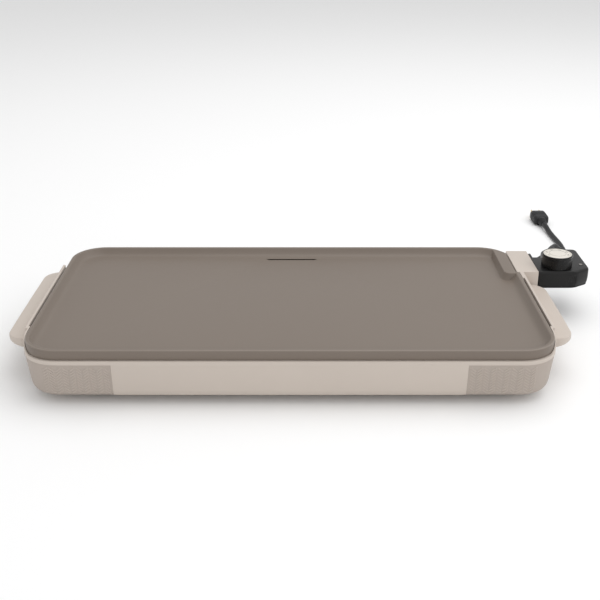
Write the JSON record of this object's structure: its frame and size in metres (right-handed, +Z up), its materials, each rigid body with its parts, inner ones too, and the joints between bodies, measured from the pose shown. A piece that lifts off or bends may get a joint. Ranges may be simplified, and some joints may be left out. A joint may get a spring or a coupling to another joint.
{
  "type": "electric griddle",
  "caption": "Wide flat electric griddle with a coated plate in a moulded base, side grips, a slide-out drip tray and a plug-in temperature control with a dial and cord.",
  "frame": {"origin": "on the table, midway between the feet, under the centre of the cooking plate", "axes": "+X to the plug-in temperature control, +Y to the drain slot and drip tray, +Z up from the cooking surface"},
  "size_m": [0.7355, 0.645, 0.0823],
  "materials": {
    "plate_coating": "satin non-stick coating over cast aluminium",
    "base_plastic": "fine matt moulded plastic, cream grey",
    "tray_metal": "satin non-stick coating over steel",
    "control_black": "fine matt black moulded plastic",
    "dial_cream": "smooth satin plastic with printed scale",
    "steel": "bright steel",
    "chrome_steel": "bright plated steel",
    "brass_metal": "plain brass",
    "ceramic_white": "unglazed white ceramic",
    "foot_rubber": "matt black rubber",
    "cord_rubber": "satin black cord jacket",
    "wire_sleeve": "heat-proof wire sleeve",
    "lens_clear": "clear frosted lens",
    "lamp_glass": "neon lamp glass"
  },
  "bodies": {
    "base": {"base_housing": "base_plastic", "cooking_plate": "plate_coating", "heating_element": "steel", "pin_seals": "ceramic_white", "terminal_pins": "chrome_steel", "heat_shield": "steel", "plate_spacers": "steel", "plate_screws": "steel", "rubber_feet": "foot_rubber", "socket_cover": "base_plastic", "socket_screws": "steel"},
    "tray": {"drip_tray": "tray_metal"},
    "control": {"upper_case": "control_black", "lower_case": "control_black", "case_screws": "steel", "probe_rod": "chrome_steel", "socket_contacts": "brass_metal", "thermostat_frame": "steel", "contact_stack": "ceramic_white", "contact_blade": "brass_metal", "lead_wires": "wire_sleeve", "pilot_lens": "lens_clear", "pilot_lamp": "lamp_glass", "cord_boot": "cord_rubber", "cord_lead": "cord_rubber", "cord_coil": "cord_rubber", "cord_tie": "cord_rubber", "cord_tail": "cord_rubber", "plug_body": "cord_rubber", "plug_blades": "brass_metal"},
    "dial": {"dial_knob": "control_black", "dial_disc": "dial_cream", "dial_spindle": "steel", "spindle_clip": "steel"}
  },
  "joints": [
    {"name": "control_pull", "type": "slide", "parent": "base", "child": "control", "axis": [1, 0, 0], "range_m": [0, 0.095]},
    {"name": "dial_turn", "type": "hinge", "parent": "control", "child": "dial", "pos_m": [0.3388, 0.0881, 0.074], "axis": [0, 0, -1], "range_deg": [0, 270]},
    {"name": "tray_slide", "type": "slide", "parent": "base", "child": "tray", "axis": [0, 1, 0], "range_m": [0, 0.08]}
  ]
}
